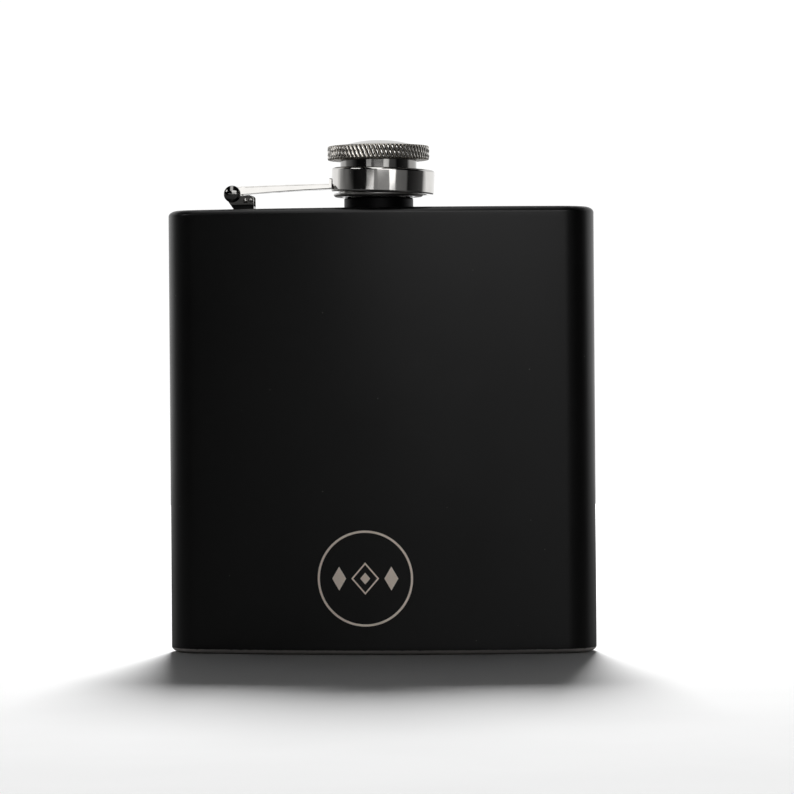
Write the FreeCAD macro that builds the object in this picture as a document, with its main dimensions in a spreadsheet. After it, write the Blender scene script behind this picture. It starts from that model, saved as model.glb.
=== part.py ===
import FreeCAD, Part

import math
import os

import Sketcher

# A curved hip flask with a captive screw cap.
# +Z is up, the convex face looks along -Y, and the cap's hinge stands towards -X.
# The origin is at the middle of the base. Lengths are in millimetres, angles in degrees.

SIZES = {
    # the kidney-shaped outline, and the sheet that the can is made of
    "bodyWidth": 95.5,
    "bodyHeight": 99,
    "frontReach": 11.5,
    "backReach": 13,
    "faceRadius": 182,
    "cornerRadius": 8.2,
    "endTaper": 0.85,
    "sheetThickness": 0.7,
    "edgeRadius": 1.3,
    "panDepth": 2.4,
    "recessInset": 4,
    "recessDepth": 0.6,
    # the spout: levels are above the shoulder
    "neckPlace": -1.42,
    "collarRadius": 7.7,
    "collarTop": 2.3,
    "stemRadius": 6.2,
    "innerFlangeRadius": 7.6,
    "innerFlangeHeight": 0.8,
    "threadRootRadius": 6.15,
    "threadCrestRadius": 6.8,
    "threadPitch": 1.5,
    "threadTurns": 3,
    "threadFoot": 3.2,
    "spoutTop": 8.2,
    "boreRadius": 4.8,
    "lipRadius": 0.4,
    # the cap's threaded sleeve and what is pressed onto it
    "crestGap": 0.35,
    "capRootRadius": 7.65,
    "sleeveRadius": 8.5,
    "sleeveFoot": 2.55,
    "sleeveTop": 10.7,
    "roofLevel": 9.4,
    "spigotRadius": 4,
    "spigotTop": 12.1,
    "flangeSeatRadius": 8.1,
    "flangeRadius": 10.05,
    "flangeTop": 3.25,
    "flangeRounding": 0.3,
    "linerFoot": 8.35,
    "linerRadius": 7.1,
    "knobRadius": 11.4,
    "knobTop": 13.85,
    "knobWeb": 1,
    "knobRimWall": 1.7,
    "knobLedge": 0.6,
    "knobRecess": 1,
    "knobBevel": 0.3,
    "domeRadius": 27,
    "domeTop": 15.25,
    "domeSheet": 0.5,
    # the loose ring that carries the cap
    "ringRadius": 11.5,
    "ringBoreRadius": 9.8,
    "ringHeight": 5.4,
    "ringLevel": 6.05,
    "ringOffset": 0.965,
    "ringTilt": 2.2,
    "ringBevel": 0.4,
    # the hinge and the arm
    "pinPlace": -32.65,
    "pinLevel": 3.5,
    "pinRadius": 0.7,
    "pinClearance": 0.04,
    "rivetRadius": 1.9,
    "rivetHeight": 1.05,
    "rivetRounding": 0.95,
    "earRadius": 1.7,
    "bracketWidth": 4.8,
    "bracketSlot": 3.2,
    "footThickness": 0.8,
    "footLeft": -32.1,
    "footRight": -27.9,
    "footTop": 3.25,
    "knuckleRadius": 1.75,
    "knuckleWidth": 3,
    "knuckleReach": 5.4,
    "armWidth": 4.2,
    "armRootTop": 5.2,
    "armRootFoot": 3.02,
    "armTipTop": 5.65,
    "armTipFoot": 4.33,
    "armMiddle": -19.15,
    "armMiddleTop": 5.5,
    "armMiddleFoot": 4.02,
    "armTip": -9.8,
    "armRounding": 0.55,
}

ORIGIN = (-1, 1)
ACROSS_AXIS = -1
UP_AXIS = -2

doc = FreeCAD.newDocument("hip_flask")
sheet = doc.addObject("Spreadsheet::Sheet", "sizes")
for row, (alias, number) in enumerate(SIZES.items(), start=1):
    sheet.set("A%d" % row, alias)
    sheet.set("B%d" % row, str(number))
    sheet.setAlias("B%d" % row, alias)
doc.recompute()


def sized(expression):
    """Put the sheet's name in front of each alias of an expression."""
    words = []
    for word in expression.split():
        bare = word.strip("()")
        words.append(word.replace(bare, "sizes." + bare) if bare in SIZES else word)
    return " ".join(words)


def worth(expression):
    """The present value of an expression of aliases."""
    return float(sheet.evalExpression(sized(expression)))


def origin_plane(body, role):
    return next(o for o in body.Origin.OriginFeatures if o.Role == role)


def new_body(label, at_neck=True):
    """An empty body; the pieces of the cap and hinge stand on the shoulder, in line with the neck."""
    body = doc.addObject("PartDesign::Body", label)
    body.Label = label
    if at_neck:
        body.setExpression("Placement.Base.y", sized("neckPlace"))
        body.setExpression("Placement.Base.z", sized("bodyHeight"))
    return body


def new_sketch(body, name, role="XZ_Plane", offset=None):
    sketch = body.newObject("Sketcher::SketchObject", body.Label + "_" + name)
    sketch.AttachmentSupport = [(origin_plane(body, role), "")]
    sketch.MapMode = "FlatFace"
    if offset:
        sketch.setExpression("AttachmentOffset.Base.z", sized(offset))
    return sketch


def hold(sketch, constraint, expression):
    """Add a dimension and bind it to an expression of aliases."""
    index = sketch.addConstraint(constraint)
    sketch.setExpression("Constraints[%d]" % index, sized(expression))


def hold_point(sketch, geometry, corner, across, up):
    """Fix a point at a place that two expressions give."""
    for kind, axis, expression in (("DistanceX", UP_AXIS, across), ("DistanceY", ACROSS_AXIS, up)):
        if expression == "0":
            sketch.addConstraint(Sketcher.Constraint("PointOnObject", geometry, corner, axis))
        else:
            datum = Sketcher.Constraint(kind, *ORIGIN, geometry, corner, worth(expression))
            hold(sketch, datum, expression)


def add_polygon(sketch, corners):
    """A closed outline of straight sides, each corner held by two expressions."""
    places = [FreeCAD.Vector(worth(across), worth(up), 0) for across, up in corners]
    first = sketch.GeometryCount
    count = len(places)
    for i, place in enumerate(places):
        sketch.addGeometry(Part.LineSegment(place, places[(i + 1) % count]))
    for i, (across, up) in enumerate(corners):
        following = first + (i + 1) % count
        sketch.addConstraint(Sketcher.Constraint("Coincident", first + i, 2, following, 1))
        hold_point(sketch, first + i, 1, across, up)


def add_circle(sketch, across, up, radius):
    centre = FreeCAD.Vector(worth(across), worth(up), 0)
    circle = Part.Circle(centre, FreeCAD.Vector(0, 0, 1), worth(radius))
    index = sketch.addGeometry(circle)
    hold_point(sketch, index, 3, across, up)
    hold(sketch, Sketcher.Constraint("Radius", index, worth(radius)), radius)


def add_outline(sketch, inset):
    """The flask's outline seen from above, moved inwards by an inset: two long arcs about one
    centre, and at each end a short straight side between two corner arcs."""
    face = "faceRadius - %s" % inset
    corner = "cornerRadius - %s" % inset
    front_x = "bodyWidth / 2 - cornerRadius"
    back_x = "bodyWidth / 2 - cornerRadius - endTaper"
    back_y = "backReach - cornerRadius"
    centre_y = "faceRadius - frontReach"

    middle = FreeCAD.Vector(0, worth(centre_y), 0)
    swing = worth("faceRadius - cornerRadius")
    front = FreeCAD.Vector(worth(front_x), worth(centre_y) - math.sqrt(swing**2 - worth(front_x) ** 2), 0)
    back = FreeCAD.Vector(worth(back_x), worth(back_y), 0)
    bend = worth(corner)
    back_radius = (back - middle).Length - bend
    front_turn = math.asin(front.x / swing)
    back_turn = math.asin(back.x / (back - middle).Length)
    side = (back - front).normalize()
    lean = math.atan2(-side.x, side.y)
    quarter = math.pi / 2

    def arc(centre, radius, start, end):
        circle = Part.Circle(centre, FreeCAD.Vector(0, 0, 1), radius)
        return Part.ArcOfCircle(circle, start, end)

    def mirrored(place):
        return FreeCAD.Vector(-place.x, place.y, 0)

    outward = FreeCAD.Vector(math.cos(lean), math.sin(lean), 0) * bend
    right_side = (front + outward, back + outward)
    left_side = (mirrored(right_side[1]), mirrored(right_side[0]))
    first = sketch.GeometryCount
    sketch.addGeometry(
        [
            arc(middle, worth(face), -quarter - front_turn, -quarter + front_turn),
            arc(front, bend, -quarter + front_turn, lean),
            Part.LineSegment(*right_side),
            arc(back, bend, lean, quarter + back_turn),
            arc(middle, back_radius, -quarter - back_turn, -quarter + back_turn),
            arc(mirrored(back), bend, quarter - back_turn, 2 * quarter - lean),
            Part.LineSegment(*left_side),
            arc(mirrored(front), bend, 2 * quarter - lean, 3 * quarter - front_turn),
        ]
    )
    face_arc, front_right, _, back_right, back_arc, back_left, _, front_left = range(first, first + 8)
    # The concave arc runs against the others, so its ends change places.
    ends = [(1, 2), (1, 2), (1, 2), (1, 2), (2, 1), (1, 2), (1, 2), (1, 2)]
    for i, (_, leaving) in enumerate(ends):
        following = (i + 1) % 8
        joint = (first + i, leaving, first + following, ends[following][0])
        sketch.addConstraint(Sketcher.Constraint("Tangent", *joint))
    sketch.addConstraint(
        [
            Sketcher.Constraint("Coincident", face_arc, 3, back_arc, 3),
            Sketcher.Constraint("Symmetric", front_right, 3, front_left, 3, UP_AXIS),
            Sketcher.Constraint("Symmetric", back_right, 3, back_left, 3, UP_AXIS),
            Sketcher.Constraint("Equal", front_right, back_right),
        ]
    )
    hold_point(sketch, face_arc, 3, "0", centre_y)
    hold_point(sketch, back_right, 3, back_x, back_y)
    across = Sketcher.Constraint("DistanceX", *ORIGIN, front_right, 3, worth(front_x))
    hold(sketch, across, front_x)
    hold(sketch, Sketcher.Constraint("Radius", face_arc, worth(face)), face)
    hold(sketch, Sketcher.Constraint("Radius", front_right, bend), corner)


def pad(body, sketch, length, midplane=False):
    feature = body.newObject("PartDesign::Pad", sketch.Name + "_pad")
    feature.Profile = sketch
    feature.Midplane = midplane
    feature.setExpression("Length", sized(length))
    doc.recompute()
    return feature


def pocket(body, sketch, length=None, upwards=True, midplane=False):
    """Cut along the sketch's normal, or against it; with no length, right through."""
    before = body.Shape.Volume
    feature = body.newObject("PartDesign::Pocket", sketch.Name + "_pocket")
    feature.Profile = sketch
    feature.Reversed = upwards
    feature.Midplane = midplane
    if length:
        feature.setExpression("Length", sized(length))
    else:
        feature.Type = "ThroughAll"
    doc.recompute()
    if not body.Shape.Volume < before:
        raise RuntimeError("%s removes nothing" % feature.Name)
    return feature


def revolve(body, sketch, axis="V_Axis"):
    feature = body.newObject("PartDesign::Revolution", sketch.Name + "_turned")
    feature.Profile = sketch
    feature.ReferenceAxis = (sketch, [axis])
    feature.Angle = 360
    doc.recompute()
    return feature


def soften(body, kind, name, size, chosen):
    """Round or bevel the edges that a test picks."""
    base = body.Tip
    edges = ["Edge%d" % i for i, edge in enumerate(base.Shape.Edges, start=1) if chosen(edge)]
    if not edges:
        raise RuntimeError("%s finds no edge" % name)
    feature = body.newObject("PartDesign::" + kind, body.Label + "_" + name)
    feature.Base = (base, edges)
    feature.setExpression({"Fillet": "Radius", "Chamfer": "Size"}[kind], sized(size))
    doc.recompute()
    return feature


def at_level(level):
    """A test for edges that lie at one height, in the body's own frame."""
    return lambda edge: max(abs(edge.BoundBox.ZMin - level), abs(edge.BoundBox.ZMax - level)) < 1e-4


def at_ring(radius, level):
    """A test for a full circle about the vertical axis, at one height."""
    return lambda edge: at_level(level)(edge) and abs(edge.BoundBox.XMax - radius) < 1e-3


def make_body_sleeve():
    """The wrapped wall of the can, between the two pans."""
    body = new_body("body_sleeve", at_neck=False)
    outline = new_sketch(body, "wall", "XY_Plane", "panDepth")
    add_outline(outline, "0")
    add_outline(outline, "sheetThickness")
    pad(body, outline, "bodyHeight - 2 * panDepth")
    return body


def make_top_plate():
    """The shoulder: a shallow pressed pan with a rounded edge and a hole for the spout."""
    body = new_body("top_plate", at_neck=False)
    outline = new_sketch(body, "outline", "XY_Plane", "bodyHeight - panDepth")
    add_outline(outline, "0")
    pad(body, outline, "panDepth")
    soften(body, "Fillet", "edge", "edgeRadius", at_level(worth("bodyHeight")))
    inside = new_sketch(body, "inside", "XY_Plane", "bodyHeight - panDepth")
    add_outline(inside, "sheetThickness")
    pocket(body, inside, "panDepth - sheetThickness")
    hole = new_sketch(body, "hole", "XY_Plane", "bodyHeight")
    add_circle(hole, "0", "neckPlace", "stemRadius")
    pocket(body, hole, upwards=False)
    return body


def make_base_plate():
    """The bottom pan: a rim to stand on, and a floor pressed up inside it."""
    body = new_body("base_plate", at_neck=False)
    outline = new_sketch(body, "outline", "XY_Plane")
    add_outline(outline, "0")
    pad(body, outline, "panDepth")
    soften(body, "Fillet", "edge", "edgeRadius", at_level(0))
    inside = new_sketch(body, "inside", "XY_Plane", "sheetThickness")
    add_outline(inside, "sheetThickness")
    pocket(body, inside)
    floor = new_sketch(body, "floor", "XY_Plane")
    add_outline(floor, "( recessInset - sheetThickness )")
    pad(body, floor, "sheetThickness + recessDepth")
    recess = new_sketch(body, "recess", "XY_Plane")
    add_outline(recess, "recessInset")
    pocket(body, recess, "recessDepth")
    return body


def add_thread(body, root, crest, foot):
    """One helical ridge, from just inside the root cylinder out to the crest."""
    profile = new_sketch(body, "thread")
    add_polygon(
        profile,
        [
            (root, foot + " - threadPitch * 0.4"),
            (crest, foot + " - threadPitch * 0.08"),
            (crest, foot + " + threadPitch * 0.08"),
            (root, foot + " + threadPitch * 0.4"),
        ],
    )
    thread = body.newObject("PartDesign::AdditiveHelix", body.Label + "_ridge")
    thread.Profile = profile
    thread.ReferenceAxis = (profile, ["V_Axis"])
    thread.Mode = "pitch-turns-angle"
    thread.setExpression("Pitch", sized("threadPitch"))
    thread.setExpression("Turns", sized("threadTurns"))
    before = body.Shape.Volume
    doc.recompute()
    if not body.Shape.Volume > before:
        raise RuntimeError("%s has no thread" % body.Label)


def make_neck_spout():
    """The turned spout: a flange under the shoulder, a collar on it, and a thread above."""
    body = new_body("neck_spout")
    section = new_sketch(body, "section")
    under = "0 - sheetThickness"
    add_polygon(
        section,
        [
            ("boreRadius", "0 - sheetThickness - innerFlangeHeight"),
            ("innerFlangeRadius", "0 - sheetThickness - innerFlangeHeight"),
            ("innerFlangeRadius", under),
            ("stemRadius", under),
            ("stemRadius", "0"),
            ("collarRadius", "0"),
            ("collarRadius", "collarTop"),
            ("threadRootRadius", "collarTop"),
            ("threadRootRadius", "spoutTop"),
            ("boreRadius", "spoutTop"),
        ],
    )
    revolve(body, section)
    soften(body, "Fillet", "lip", "lipRadius", at_level(worth("spoutTop")))
    collar_edge = at_ring(worth("collarRadius"), worth("collarTop"))
    soften(body, "Fillet", "collar_edge", "lipRadius", collar_edge)
    add_thread(body, "threadRootRadius - 0.1", "threadCrestRadius", "threadFoot")
    return body


def make_cap_sleeve():
    """The cap's inner sleeve: threaded inside, closed above, with a spigot for the knob."""
    body = new_body("cap_sleeve")
    section = new_sketch(body, "section")
    add_polygon(
        section,
        [
            ("capRootRadius", "sleeveFoot"),
            ("flangeSeatRadius", "sleeveFoot"),
            ("flangeSeatRadius", "flangeTop"),
            ("sleeveRadius", "flangeTop"),
            ("sleeveRadius", "sleeveTop"),
            ("spigotRadius", "sleeveTop"),
            ("spigotRadius", "spigotTop"),
            ("0", "spigotTop"),
            ("0", "roofLevel"),
            ("capRootRadius", "roofLevel"),
        ],
    )
    revolve(body, section)
    crest = "threadCrestRadius + crestGap"
    add_thread(body, "capRootRadius + 0.1", crest, "threadFoot + threadPitch * 0.5")
    return body


def make_retaining_flange():
    """The lip that is pressed on the sleeve's foot and holds the loose ring up."""
    body = new_body("retaining_flange")
    section = new_sketch(body, "section")
    add_polygon(
        section,
        [
            ("flangeSeatRadius", "sleeveFoot"),
            ("flangeRadius", "sleeveFoot"),
            ("flangeRadius", "flangeTop"),
            ("flangeSeatRadius", "flangeTop"),
        ],
    )
    revolve(body, section)
    outer = worth("flangeRadius")
    soften(
        body,
        "Fillet",
        "edge",
        "flangeRounding",
        lambda edge: abs(edge.BoundBox.XMax - outer) < 1e-3 and edge.BoundBox.ZLength < 1e-4,
    )
    return body


def make_seal_liner():
    """The soft disc that closes on the spout's lip."""
    body = new_body("seal_liner")
    disc = new_sketch(body, "disc", "XY_Plane", "linerFoot")
    add_circle(disc, "0", "0", "linerRadius")
    pad(body, disc, "roofLevel - linerFoot")
    return body


def make_knob_shell():
    """The knob's pressed shell: a web on the spigot and a thick rim round a ledge."""
    body = new_body("knob_shell")
    inner = "knobRadius - knobRimWall"
    ledge = "knobRadius - knobRimWall + knobLedge"
    section = new_sketch(body, "section")
    add_polygon(
        section,
        [
            ("spigotRadius", "sleeveTop"),
            ("knobRadius", "sleeveTop"),
            ("knobRadius", "knobTop"),
            (ledge, "knobTop"),
            (ledge, "knobTop - knobRecess"),
            (inner, "knobTop - knobRecess"),
            (inner, "sleeveTop + knobWeb"),
            ("spigotRadius", "sleeveTop + knobWeb"),
        ],
    )
    revolve(body, section)
    outer = worth("knobRadius")
    soften(
        body,
        "Chamfer",
        "bevel",
        "knobBevel",
        lambda edge: abs(edge.BoundBox.XMax - outer) < 1e-3 and edge.BoundBox.ZLength < 1e-4,
    )
    return body


def make_knob_dome():
    """The shallow sheet dome that lies on the rim's ledge and closes the knob."""
    outer = doc.addObject("Part::Sphere", "dome_outside")
    outer.setExpression("Radius", sized("domeRadius"))
    outer.setExpression("Placement.Base.z", sized("domeTop - domeRadius"))
    inner = doc.addObject("Part::Sphere", "dome_inside")
    inner.setExpression("Radius", sized("domeRadius - domeSheet"))
    inner.setExpression("Placement.Base.z", sized("domeTop - domeRadius"))
    shell = doc.addObject("Part::Cut", "dome_shell")
    shell.Base = outer
    shell.Tool = inner
    disc = doc.addObject("Part::Cylinder", "dome_disc")
    disc.setExpression("Radius", sized("knobRadius - knobRimWall + knobLedge"))
    disc.setExpression("Height", sized("domeTop - knobTop + knobRecess"))
    disc.setExpression("Placement.Base.z", sized("knobTop - knobRecess"))
    dome = doc.addObject("Part::Common", "knob_dome")
    dome.Label = "knob_dome"
    dome.Base = shell
    dome.Tool = disc
    dome.setExpression("Placement.Base.y", sized("neckPlace"))
    dome.setExpression("Placement.Base.z", sized("bodyHeight"))
    doc.recompute()
    return dome


def place_on_ring(body):
    """Put a body's middle at the ring's middle, with the ring's lean."""
    body.setExpression("Placement.Base.x", sized("ringOffset"))
    body.setExpression("Placement.Base.z", sized("bodyHeight + ringLevel"))
    body.setExpression("Placement.Rotation.Pitch", sized("ringTilt"))


def make_cap_ring():
    """The ring on the arm's end: it hangs loose round the sleeve, pushed off its middle and leaning."""
    body = new_body("cap_ring")
    place_on_ring(body)
    section = new_sketch(body, "section")
    half = "ringHeight / 2"
    add_polygon(
        section,
        [
            ("ringBoreRadius", "0 - " + half),
            ("ringRadius", "0 - " + half),
            ("ringRadius", half),
            ("ringBoreRadius", half),
        ],
    )
    revolve(body, section)
    soften(body, "Fillet", "edges", "ringBevel", lambda edge: edge.BoundBox.ZLength < 1e-4)
    return body


def make_hinge_bracket():
    """The bracket on the shoulder: two ears that lean out over its foot, with the pin's hole."""
    body = new_body("hinge_bracket")
    eye = new_sketch(body, "eye")
    add_circle(eye, "pinPlace", "pinLevel", "earRadius")
    pad(body, eye, "bracketWidth", midplane=True)
    web = new_sketch(body, "web")
    add_polygon(
        web,
        [
            ("pinPlace - earRadius * 0.8", "pinLevel - earRadius * 0.6"),
            ("footLeft", "0"),
            ("footRight", "0"),
            ("footRight", "footTop - 0.8"),
            ("footRight - 0.9", "footTop"),
            ("pinPlace + earRadius * 0.8", "footTop"),
        ],
    )
    pad(body, web, "bracketWidth", midplane=True)
    slot = new_sketch(body, "slot", "XY_Plane", "footThickness")
    half = "bracketSlot / 2"
    left = "pinPlace - earRadius - 1"
    right = "footRight + 1"
    add_polygon(slot, [(left, "0 - " + half), (right, "0 - " + half), (right, half), (left, half)])
    pocket(body, slot)
    hole = new_sketch(body, "hole")
    add_circle(hole, "pinPlace", "pinLevel", "pinRadius")
    pocket(body, hole, "bracketWidth + 1", midplane=True)
    return body


def make_hinge_pin():
    """The hinge's rivet: a plain shank between two domed heads."""
    body = new_body("hinge_pin")
    body.setExpression("Placement.Base.x", sized("pinPlace"))
    body.setExpression("Placement.Base.z", sized("bodyHeight + pinLevel"))
    section = new_sketch(body, "section", "YZ_Plane")
    inside = "bracketWidth / 2"
    outside = "bracketWidth / 2 + rivetHeight"
    add_polygon(
        section,
        [
            ("0 - ( %s )" % outside, "0"),
            (outside, "0"),
            (outside, "rivetRadius"),
            (inside, "rivetRadius"),
            (inside, "pinRadius"),
            ("0 - " + inside, "pinRadius"),
            ("0 - " + inside, "rivetRadius"),
            ("0 - ( %s )" % outside, "rivetRadius"),
        ],
    )
    revolve(body, section, "H_Axis")
    end = worth(outside)
    soften(
        body,
        "Fillet",
        "domes",
        "rivetRounding",
        lambda edge: abs(abs(edge.CenterOfMass.y) - end) < 1e-3 and edge.BoundBox.YLength < 1e-4,
    )
    return body


def make_cap_arm():
    """The arm: a knuckle on the pin and a tapered bar, cut to fit against the ring."""
    body = new_body("arm_blank")
    eye = new_sketch(body, "eye")
    add_circle(eye, "pinPlace", "pinLevel", "knuckleRadius")
    pad(body, eye, "knuckleWidth", midplane=True)
    bar = new_sketch(body, "bar")
    add_polygon(
        bar,
        [
            ("pinPlace", "armRootFoot"),
            ("armMiddle", "armMiddleFoot"),
            ("armTip", "armTipFoot"),
            ("armTip", "armTipTop"),
            ("armMiddle", "armMiddleTop"),
            ("pinPlace", "armRootTop"),
        ],
    )
    pad(body, bar, "armWidth", midplane=True)
    top_corner = worth("armWidth") / 2
    soften(
        body,
        "Fillet",
        "crown",
        "armRounding",
        lambda edge: edge.BoundBox.XLength > 5 and abs(abs(edge.CenterOfMass.y) - top_corner) < 1e-3,
    )
    for name, sign in (("front_notch", "0 - "), ("back_notch", "")):
        notch = new_sketch(body, name, "XY_Plane")
        near = sign + "knuckleWidth / 2"
        far = sign + "armWidth"
        left = "pinPlace - knuckleRadius - 1"
        right = "pinPlace + knuckleReach"
        add_polygon(notch, [(left, near), (right, near), (right, far), (left, far)])
        pocket(body, notch)
    hole = new_sketch(body, "hole")
    add_circle(hole, "pinPlace", "pinLevel", "pinRadius + pinClearance")
    pocket(body, hole, "armWidth + 1", midplane=True)

    saddle = new_body("ring_outside")
    place_on_ring(saddle)
    round_wall = new_sketch(saddle, "wall", "XY_Plane")
    add_circle(round_wall, "0", "0", "ringRadius")
    pad(saddle, round_wall, "ringHeight * 2", midplane=True)
    arm = doc.addObject("Part::Cut", "cap_arm")
    arm.Label = "cap_arm"
    arm.Base = body
    arm.Tool = saddle
    doc.recompute()
    return arm


pieces = [
    make_body_sleeve(),
    make_top_plate(),
    make_base_plate(),
    make_neck_spout(),
    make_hinge_bracket(),
    make_hinge_pin(),
    make_cap_arm(),
    make_cap_ring(),
    make_cap_sleeve(),
    make_retaining_flange(),
    make_seal_liner(),
    make_knob_shell(),
    make_knob_dome(),
]
doc.recompute()

for item in doc.Objects:
    if "Invalid" in item.State or "Error" in item.State:
        raise RuntimeError("%s did not recompute: %s" % (item.Label, item.State))
for piece in pieces:
    if piece.Shape.isNull() or not piece.Shape.isValid() or len(piece.Shape.Solids) != 1:
        raise RuntimeError("%s is not one valid solid" % piece.Label)

os.makedirs("parts", exist_ok=True)
for piece in pieces:
    piece.Shape.exportStep("parts/%s.step" % piece.Label)
    bounds = piece.Shape.BoundBox
    print("%-18s %8.1f mm3  z %6.2f to %6.2f" % (piece.Label, piece.Shape.Volume, bounds.ZMin, bounds.ZMax))
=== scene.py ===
"""Finishes for a curved hip flask: its can, spout, hinge and captive screw cap."""

import math

import bpy
from bpy.props import FloatProperty, FloatVectorProperty, IntProperty, PointerProperty
from mathutils import Matrix, Vector


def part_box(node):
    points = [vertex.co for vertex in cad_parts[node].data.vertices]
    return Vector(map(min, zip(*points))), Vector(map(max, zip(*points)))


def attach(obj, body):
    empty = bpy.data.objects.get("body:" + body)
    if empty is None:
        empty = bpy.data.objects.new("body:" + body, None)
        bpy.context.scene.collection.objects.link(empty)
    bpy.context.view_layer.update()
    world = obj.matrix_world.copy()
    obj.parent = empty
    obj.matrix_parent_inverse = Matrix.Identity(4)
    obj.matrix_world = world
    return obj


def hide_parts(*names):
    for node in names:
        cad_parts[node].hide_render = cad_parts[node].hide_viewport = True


bl_info = {
    "name": "Hip Flask Finishes",
    "version": (1, 0, 0),
    "blender": (4, 5, 0),
    "location": "View3D > Sidebar > Flask",
    "description": "Builds the detailed pieces and the finishes of a curved hip flask",
    "category": "Object",
}

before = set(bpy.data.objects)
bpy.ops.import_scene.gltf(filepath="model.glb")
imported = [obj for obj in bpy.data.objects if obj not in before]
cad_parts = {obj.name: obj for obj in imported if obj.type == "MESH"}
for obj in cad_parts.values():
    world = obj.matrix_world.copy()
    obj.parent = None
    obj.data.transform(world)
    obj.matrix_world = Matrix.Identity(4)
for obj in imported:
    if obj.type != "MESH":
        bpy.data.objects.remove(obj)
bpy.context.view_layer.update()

MM = 0.001
BASE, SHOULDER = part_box("base_plate")[0].z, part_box("top_plate")[1].z
WALL_LOW, WALL_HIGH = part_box("body_sleeve")
SPOUT_LOW, SPOUT_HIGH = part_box("neck_spout")
SLEEVE_LOW, SLEEVE_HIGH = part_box("cap_sleeve")
FLANGE_LOW, FLANGE_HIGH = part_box("retaining_flange")
LINER_LOW, LINER_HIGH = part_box("seal_liner")
KNOB_LOW, KNOB_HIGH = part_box("knob_shell")
DOME_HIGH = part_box("knob_dome")[1]
RING_LOW, RING_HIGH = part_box("cap_ring")
PIN_LOW, PIN_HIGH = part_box("hinge_pin")
BRACKET_LOW, BRACKET_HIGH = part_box("hinge_bracket")
ARM_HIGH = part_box("cap_arm")[1]
NECK = Vector((0, (KNOB_LOW.y + KNOB_HIGH.y) / 2, SHOULDER))
PIVOT = (PIN_LOW + PIN_HIGH) / 2
RING_MIDDLE = (RING_LOW + RING_HIGH) / 2
FULL_TURN = 2 * math.pi


def length(name, description, default):
    return FloatProperty(name=name, description=description, default=default, unit="LENGTH", precision=5)


def turn(name, description, degrees):
    return FloatProperty(
        name=name, description=description, default=math.radians(degrees), unit="ROTATION", subtype="ANGLE"
    )


def share(name, description, default):
    return FloatProperty(name=name, description=description, default=default, subtype="FACTOR", min=0, max=1)


def tint(name, description, default):
    return FloatVectorProperty(
        name=name, description=description, default=default, subtype="COLOR", size=3, min=0, max=1
    )


def amount(name, description, default):
    return FloatProperty(name=name, description=description, default=default)


class CanSettings(bpy.types.PropertyGroup):
    """Sizes of the kidney-shaped can."""

    face_radius: length("Face Radius", "Bend of the convex front", 182 * MM)
    front_reach: length("Front Reach", "From the middle to the front's crest", 11.5 * MM)
    corner_radius: length("Corner Radius", "Rounding of the four upright corners", 8.2 * MM)
    end_taper: length("End Taper", "How far the ends lean in towards the back", 0.85 * MM)
    sheet: length("Sheet", "Thickness of the sheet steel", 0.7 * MM)
    edge_radius: length("Edge Radius", "Height of the rounding round the shoulder and the base", 1.3 * MM)
    edge_reach: length("Edge Reach", "How far the rounding reaches inwards", 2.1 * MM)
    recess_inset: length("Recess Inset", "Width of the rim that the flask stands on", 4 * MM)
    recess_depth: length("Recess Depth", "Height of the pressed-up floor", 0.6 * MM)


class SpoutSettings(bpy.types.PropertyGroup):
    """Sizes of the threaded spout."""

    bore_radius: length("Bore Radius", "Radius of the pouring hole", 4.8 * MM)
    stem_radius: length("Stem Radius", "Radius of the hole in the shoulder", 6.2 * MM)
    collar_radius: length("Collar Radius", "Radius of the coated collar", 7.7 * MM)
    collar_height: length("Collar Height", "Height of the collar over the shoulder", 2.3 * MM)
    root_radius: length("Root Radius", "Radius at the bottom of the thread", 6.15 * MM)
    crest_radius: length("Crest Radius", "Radius over the thread", 6.8 * MM)
    pitch: length("Pitch", "Rise of the thread in one turn", 1.5 * MM)
    thread_foot: length("Thread Foot", "Where the thread starts over the shoulder", 3.2 * MM)
    thread_turns: amount("Thread Turns", "Turns of the thread", 3.0)


class CapSettings(bpy.types.PropertyGroup):
    """Sizes of the captive cap."""

    sleeve_radius: length("Sleeve Radius", "Radius of the plain waist", 8.5 * MM)
    root_radius: length("Thread Root", "Radius at the bottom of the inner thread", 7.65 * MM)
    crest_radius: length("Thread Crest", "Radius inside the inner thread", 7.15 * MM)
    roof: length("Roof", "Underside of the sleeve's roof over the shoulder", 9.4 * MM)
    top: length("Sleeve Top", "Where the knob sits over the shoulder", 10.7 * MM)
    spigot_radius: length("Spigot Radius", "Radius of the peg under the knob", 4 * MM)
    seat_radius: length("Seat Radius", "Radius of the flange's seat", 8.1 * MM)
    ring_radius: length("Ring Radius", "Outer radius of the loose ring", 11.5 * MM)
    ring_bore: length("Ring Bore", "Inner radius of the loose ring", 9.8 * MM)
    ring_height: length("Ring Height", "Height of the loose ring", 5.4 * MM)
    ring_lean: turn("Ring Lean", "How far the loose ring leans to the right", 2.2)
    knurl_count: IntProperty(name="Knurl Count", description="Grooves of each hand", default=72)
    knurl_lean: turn("Knurl Lean", "Lean of the grooves from upright", 23)
    knurl_depth: length("Knurl Depth", "Depth of the knurl", 0.25 * MM)
    rim_wall: length("Rim Wall", "Thickness of the knurled rim", 1.7 * MM)
    ledge: length("Ledge", "Width of the dome's ledge", 0.6 * MM)
    recess: length("Recess", "Depth of the dome's ledge", 1.0 * MM)
    web: length("Web", "Thickness of the knob's floor", 1.0 * MM)
    dome_radius: length("Dome Radius", "Bend of the dome", 27 * MM)
    dome_sheet: length("Dome Sheet", "Thickness of the dome", 0.5 * MM)


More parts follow.
